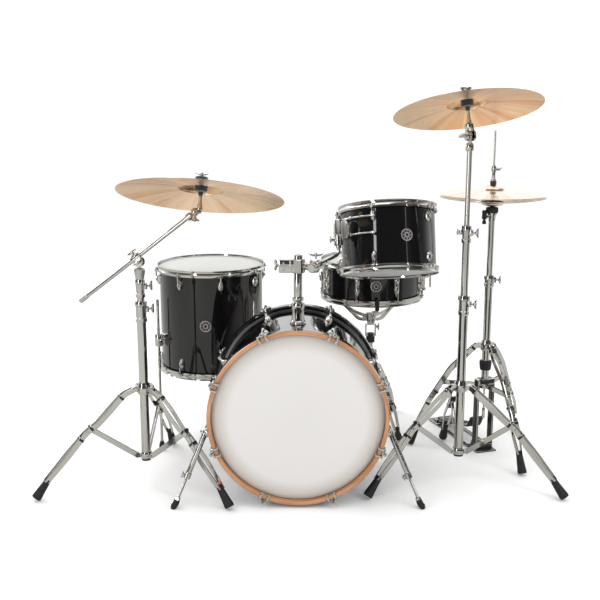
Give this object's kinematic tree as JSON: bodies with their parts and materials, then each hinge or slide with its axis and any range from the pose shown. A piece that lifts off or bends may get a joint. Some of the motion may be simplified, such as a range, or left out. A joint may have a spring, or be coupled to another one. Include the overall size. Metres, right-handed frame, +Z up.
{
  "type": "acoustic drum kit",
  "caption": "Compact acoustic drum kit: bass drum with mounted tom, floor tom, snare on a basket stand, hi-hat, boom and straight cymbal stands, and a kick pedal.",
  "frame": {"origin": "middle of the footprint, on the floor", "axes": "+Z up, +X along the kit to the viewer's right, -Y to the front, which the audience sees"},
  "size_m": [1.6458, 0.9886, 1.245],
  "materials": {
    "black_lacquer": "deep gloss black lacquer over wood plies",
    "maple": "clear gloss over maple",
    "drum_film": "white coated drum film",
    "chrome": "bright chrome plate",
    "satin_metal": "satin cast metal",
    "black_metal": "satin black",
    "cymbal_bronze": "lathed bronze"
  },
  "bodies": {
    "kit_base": {"bass_drum_shell": "black_lacquer", "bass_drum_front_hoop": "maple", "bass_drum_batter_hoop": "maple", "bass_drum_front_head": "drum_film", "bass_drum_batter_head": "drum_film", "kick_pedal_frame": "black_metal", "floor_tom_shell": "black_lacquer", "floor_tom_top_head": "drum_film", "floor_tom_bottom_head": "drum_film", "floor_tom_top_hoop": "chrome", "floor_tom_bottom_hoop": "chrome", "snare_stand_tripod": "chrome", "hihat_base": "chrome", "crash_stand_base": "chrome", "boom_base_tube": "chrome"},
    "spur_left": {"bass_spur_left": "chrome"},
    "spur_right": {"bass_spur_right": "chrome"},
    "kick_beater": {"kick_pedal_beater": "chrome"},
    "kick_footboard": {"kick_pedal_footboard": "satin_metal"},
    "tom_post": {"tom_post": "chrome"},
    "tom_holder": {"tom_holder": "chrome"},
    "tom_arm": {"tom_arm": "chrome"},
    "rack_tom": {"rack_tom_shell": "black_lacquer", "rack_tom_top_head": "drum_film", "rack_tom_bottom_head": "drum_film", "rack_tom_top_hoop": "chrome", "rack_tom_bottom_hoop": "chrome", "tom_bracket": "chrome"},
    "floor_tom_leg_left": {"floor_tom_leg_left": "chrome"},
    "floor_tom_leg_right": {"floor_tom_leg_right": "chrome"},
    "floor_tom_leg_rear": {"floor_tom_leg_rear": "chrome"},
    "snare_stand_tube": {"snare_stand_tube": "chrome"},
    "snare_drum": {"snare_basket": "chrome", "snare_shell": "black_lacquer", "snare_top_head": "drum_film", "snare_top_hoop": "chrome", "snare_bottom_hoop": "chrome"},
    "snare_strainer_lever": {"snare_strainer_lever": "chrome"},
    "hihat_footboard": {"hihat_footboard": "black_metal"},
    "hihat_rod": {"hihat_rod": "chrome", "hihat_top_cymbal": "cymbal_bronze"},
    "hihat_upper_tube": {"hihat_upper_tube": "chrome", "hihat_bottom_cymbal": "cymbal_bronze"},
    "crash_middle_tube": {"crash_middle_tube": "chrome"},
    "crash_upper_tube": {"crash_upper_tube": "chrome"},
    "crash_tilter": {"crash_tilter": "chrome"},
    "crash_cymbal": {"crash_cymbal": "cymbal_bronze"},
    "boom_leg_collar": {"boom_leg_collar": "chrome"},
    "boom_leg_rear": {"boom_leg_rear": "chrome"},
    "boom_brace_rear": {"boom_brace_rear": "chrome"},
    "boom_leg_left": {"boom_leg_left": "chrome"},
    "boom_brace_left": {"boom_brace_left": "chrome"},
    "boom_leg_right": {"boom_leg_right": "chrome"},
    "boom_brace_right": {"boom_brace_right": "chrome"},
    "boom_middle_tube": {"boom_middle_tube": "chrome"},
    "boom_upper_tube": {"boom_upper_tube": "satin_metal"},
    "boom_clamp": {"boom_clamp": "chrome"},
    "boom_arm": {"boom_arm": "chrome"},
    "boom_cymbal_tilter": {"boom_cymbal_tilter": "chrome"},
    "boom_cymbal": {"boom_cymbal": "cymbal_bronze"}
  },
  "joints": [
    {"name": "spur_left_fold", "type": "hinge", "parent": "kit_base", "child": "spur_left", "pos_m": [-0.27056, -0.36433, 0.2232], "axis": [-0.9781, 0, -0.2079], "range_deg": [0, 95]},
    {"name": "spur_right_fold", "type": "hinge", "parent": "kit_base", "child": "spur_right", "pos_m": [0.25451, -0.36433, 0.2232], "axis": [-0.9781, 0, 0.2079], "range_deg": [0, 95]},
    {"name": "beater_swing", "type": "hinge", "parent": "kit_base", "child": "kick_beater", "pos_m": [-0.00803, 0.02067, 0.168], "axis": [1, 0, 0], "range_deg": [0, 45], "stiffness_Nm_per_rad": 2, "springref_deg": -34.38},
    {"name": "kick_footboard_press", "type": "hinge", "parent": "kit_base", "child": "kick_footboard", "pos_m": [-0.00803, 0.21567, 0.024], "axis": [1, 0, 0], "range_deg": [0, 9]},
    {"name": "tom_post_height", "type": "slide", "parent": "kit_base", "child": "tom_post", "axis": [0, 0, 1], "range_m": [0, 0.08]},
    {"name": "tom_holder_swivel", "type": "hinge", "parent": "tom_post", "child": "tom_holder", "pos_m": [-0.00803, -0.25433, 0.712], "axis": [0, 0, 1], "range_deg": [-12, 1]},
    {"name": "tom_arm_turn", "type": "hinge", "parent": "tom_holder", "child": "tom_arm", "pos_m": [0.04997, -0.25033, 0.712], "axis": [0.5459, 0.8253, 0.1444], "range_deg": [-12, 4]},
    {"name": "tom_swivel", "type": "hinge", "parent": "tom_arm", "child": "rack_tom", "pos_m": [0.11819, -0.12656, 0.79604], "axis": [-0.0252, 0.2656, 0.9638], "range_deg": [-8, 1.5]},
    {"name": "floor_tom_leg_left_height", "type": "slide", "parent": "kit_base", "child": "floor_tom_leg_left", "axis": [0, 0, 1], "range_m": [0, 0.12]},
    {"name": "floor_tom_leg_right_height", "type": "slide", "parent": "kit_base", "child": "floor_tom_leg_right", "axis": [0, 0, 1], "range_m": [0, 0.12]},
    {"name": "floor_tom_leg_rear_height", "type": "slide", "parent": "kit_base", "child": "floor_tom_leg_rear", "axis": [0, 0, 1], "range_m": [0, 0.12]},
    {"name": "snare_stand_height", "type": "slide", "parent": "kit_base", "child": "snare_stand_tube", "axis": [0, 0, 1], "range_m": [0, 0.024]},
    {"name": "snare_basket_tilt", "type": "hinge", "parent": "snare_stand_tube", "child": "snare_drum", "pos_m": [0.25897, 0.30567, 0.4], "axis": [1, 0, 0], "range_deg": [-15, 0]},
    {"name": "snare_strainer_throw", "type": "hinge", "parent": "snare_drum", "child": "snare_strainer_lever", "pos_m": [0.46657, 0.26906, 0.5855], "axis": [-0.1736, -0.9848, 0], "range_deg": [0, 70]},
    {"name": "hihat_footboard_press", "type": "hinge", "parent": "kit_base", "child": "hihat_footboard", "pos_m": [0.55097, 0.33957, 0.018], "axis": [0.9511, 0.309, 0], "range_deg": [0, 1.8]},
    {"name": "hihat_rod_travel", "type": "slide", "parent": "kit_base", "child": "hihat_rod", "axis": [0, 0, -1], "range_m": [0, 0.0076], "stiffness_N_per_m": 900, "springref_m": -0.04},
    {"name": "hihat_tube_height", "type": "slide", "parent": "kit_base", "child": "hihat_upper_tube", "axis": [0, 0, 1], "range_m": [-0.08, 0]},
    {"name": "crash_middle_height", "type": "slide", "parent": "kit_base", "child": "crash_middle_tube", "axis": [0, 0, 1], "range_m": [0, 0.12]},
    {"name": "crash_upper_height", "type": "slide", "parent": "crash_middle_tube", "child": "crash_upper_tube", "axis": [0, 0, 1], "range_m": [0, 0.12]},
    {"name": "crash_tilt", "type": "hinge", "parent": "crash_upper_tube", "child": "crash_tilter", "pos_m": [0.51097, -0.18933, 1.098], "axis": [0.9969, 0, 0.0785], "range_deg": [-20, 30]},
    {"name": "crash_spin", "type": "hinge", "parent": "crash_tilter", "child": "crash_cymbal", "pos_m": [0.51097, -0.18933, 1.098], "axis": [-0.0755, 0.2706, 0.9597], "continuous": true},
    {"name": "boom_collar_fold", "type": "slide", "parent": "kit_base", "child": "boom_leg_collar", "axis": [0, 0, 1], "range_m": [0, 0.12]},
    {"name": "boom_leg_rear_fold", "type": "hinge", "parent": "boom_leg_collar", "child": "boom_leg_rear", "pos_m": [-0.48947, -0.19852, 0.317], "axis": [-0.9945, 0.1045, 0], "range_deg": [0, 37.13]},
    {"name": "boom_brace_rear_fold", "type": "hinge", "parent": "kit_base", "child": "boom_brace_rear", "pos_m": [-0.49042, -0.20747, 0.097], "axis": [0.9945, -0.1045, 0], "range_deg": [0, 38.56]},
    {"name": "boom_leg_left_fold", "type": "hinge", "parent": "boom_leg_collar", "child": "boom_leg_left", "pos_m": [-0.52409, -0.24616, 0.317], "axis": [0.4067, -0.9135, 0], "range_deg": [0, 37.13]},
    {"name": "boom_brace_left_fold", "type": "hinge", "parent": "kit_base", "child": "boom_brace_left", "pos_m": [-0.51587, -0.2425, 0.097], "axis": [-0.4067, 0.9135, 0], "range_deg": [0, 38.56]},
    {"name": "boom_leg_right_fold", "type": "hinge", "parent": "boom_leg_collar", "child": "boom_leg_right", "pos_m": [-0.46552, -0.25232, 0.317], "axis": [0.5878, 0.809, 0], "range_deg": [0, 37.13]},
    {"name": "boom_brace_right_fold", "type": "hinge", "parent": "kit_base", "child": "boom_brace_right", "pos_m": [-0.4728, -0.24703, 0.097], "axis": [-0.5878, -0.809, 0], "range_deg": [0, 38.56]},
    {"name": "boom_middle_height", "type": "slide", "parent": "kit_base", "child": "boom_middle_tube", "axis": [0, 0, 1], "range_m": [0, 0.1]},
    {"name": "boom_upper_height", "type": "slide", "parent": "boom_middle_tube", "child": "boom_upper_tube", "axis": [0, 0, 1], "range_m": [0, 0.1]},
    {"name": "boom_tilt", "type": "hinge", "parent": "boom_upper_tube", "child": "boom_clamp", "pos_m": [-0.49303, -0.23233, 0.72], "axis": [0.1718, 0.9851, 0], "range_deg": [-18, 12]},
    {"name": "boom_arm_reach", "type": "slide", "parent": "boom_clamp", "child": "boom_arm", "axis": [0.7837, -0.1367, 0.606], "range_m": [-0.06, 0.06]},
    {"name": "boom_cymbal_tilt", "type": "hinge", "parent": "boom_arm", "child": "boom_cymbal_tilter", "pos_m": [-0.31561, -0.26486, 0.87615], "axis": [0.9978, 0, -0.0663], "range_deg": [-20, 25]},
    {"name": "boom_cymbal_spin", "type": "hinge", "parent": "boom_cymbal_tilter", "child": "boom_cymbal", "pos_m": [-0.30264, -0.26486, 0.87529], "axis": [0.0634, 0.2924, 0.9542], "continuous": true}
  ],
  "couplings": [
    {"joint": "beater_swing", "follows": "kick_footboard_press", "ratio": 5},
    {"joint": "hihat_rod_travel", "follows": "hihat_footboard_press", "m_per_rad": 0.2389},
    {"joint": "boom_leg_rear_fold", "follows": "boom_collar_fold", "rad_per_m": 5.3865},
    {"joint": "boom_brace_rear_fold", "follows": "boom_collar_fold", "rad_per_m": 5.5943},
    {"joint": "boom_leg_left_fold", "follows": "boom_collar_fold", "rad_per_m": 5.3865},
    {"joint": "boom_brace_left_fold", "follows": "boom_collar_fold", "rad_per_m": 5.5943},
    {"joint": "boom_leg_right_fold", "follows": "boom_collar_fold", "rad_per_m": 5.3865},
    {"joint": "boom_brace_right_fold", "follows": "boom_collar_fold", "rad_per_m": 5.5943}
  ]
}
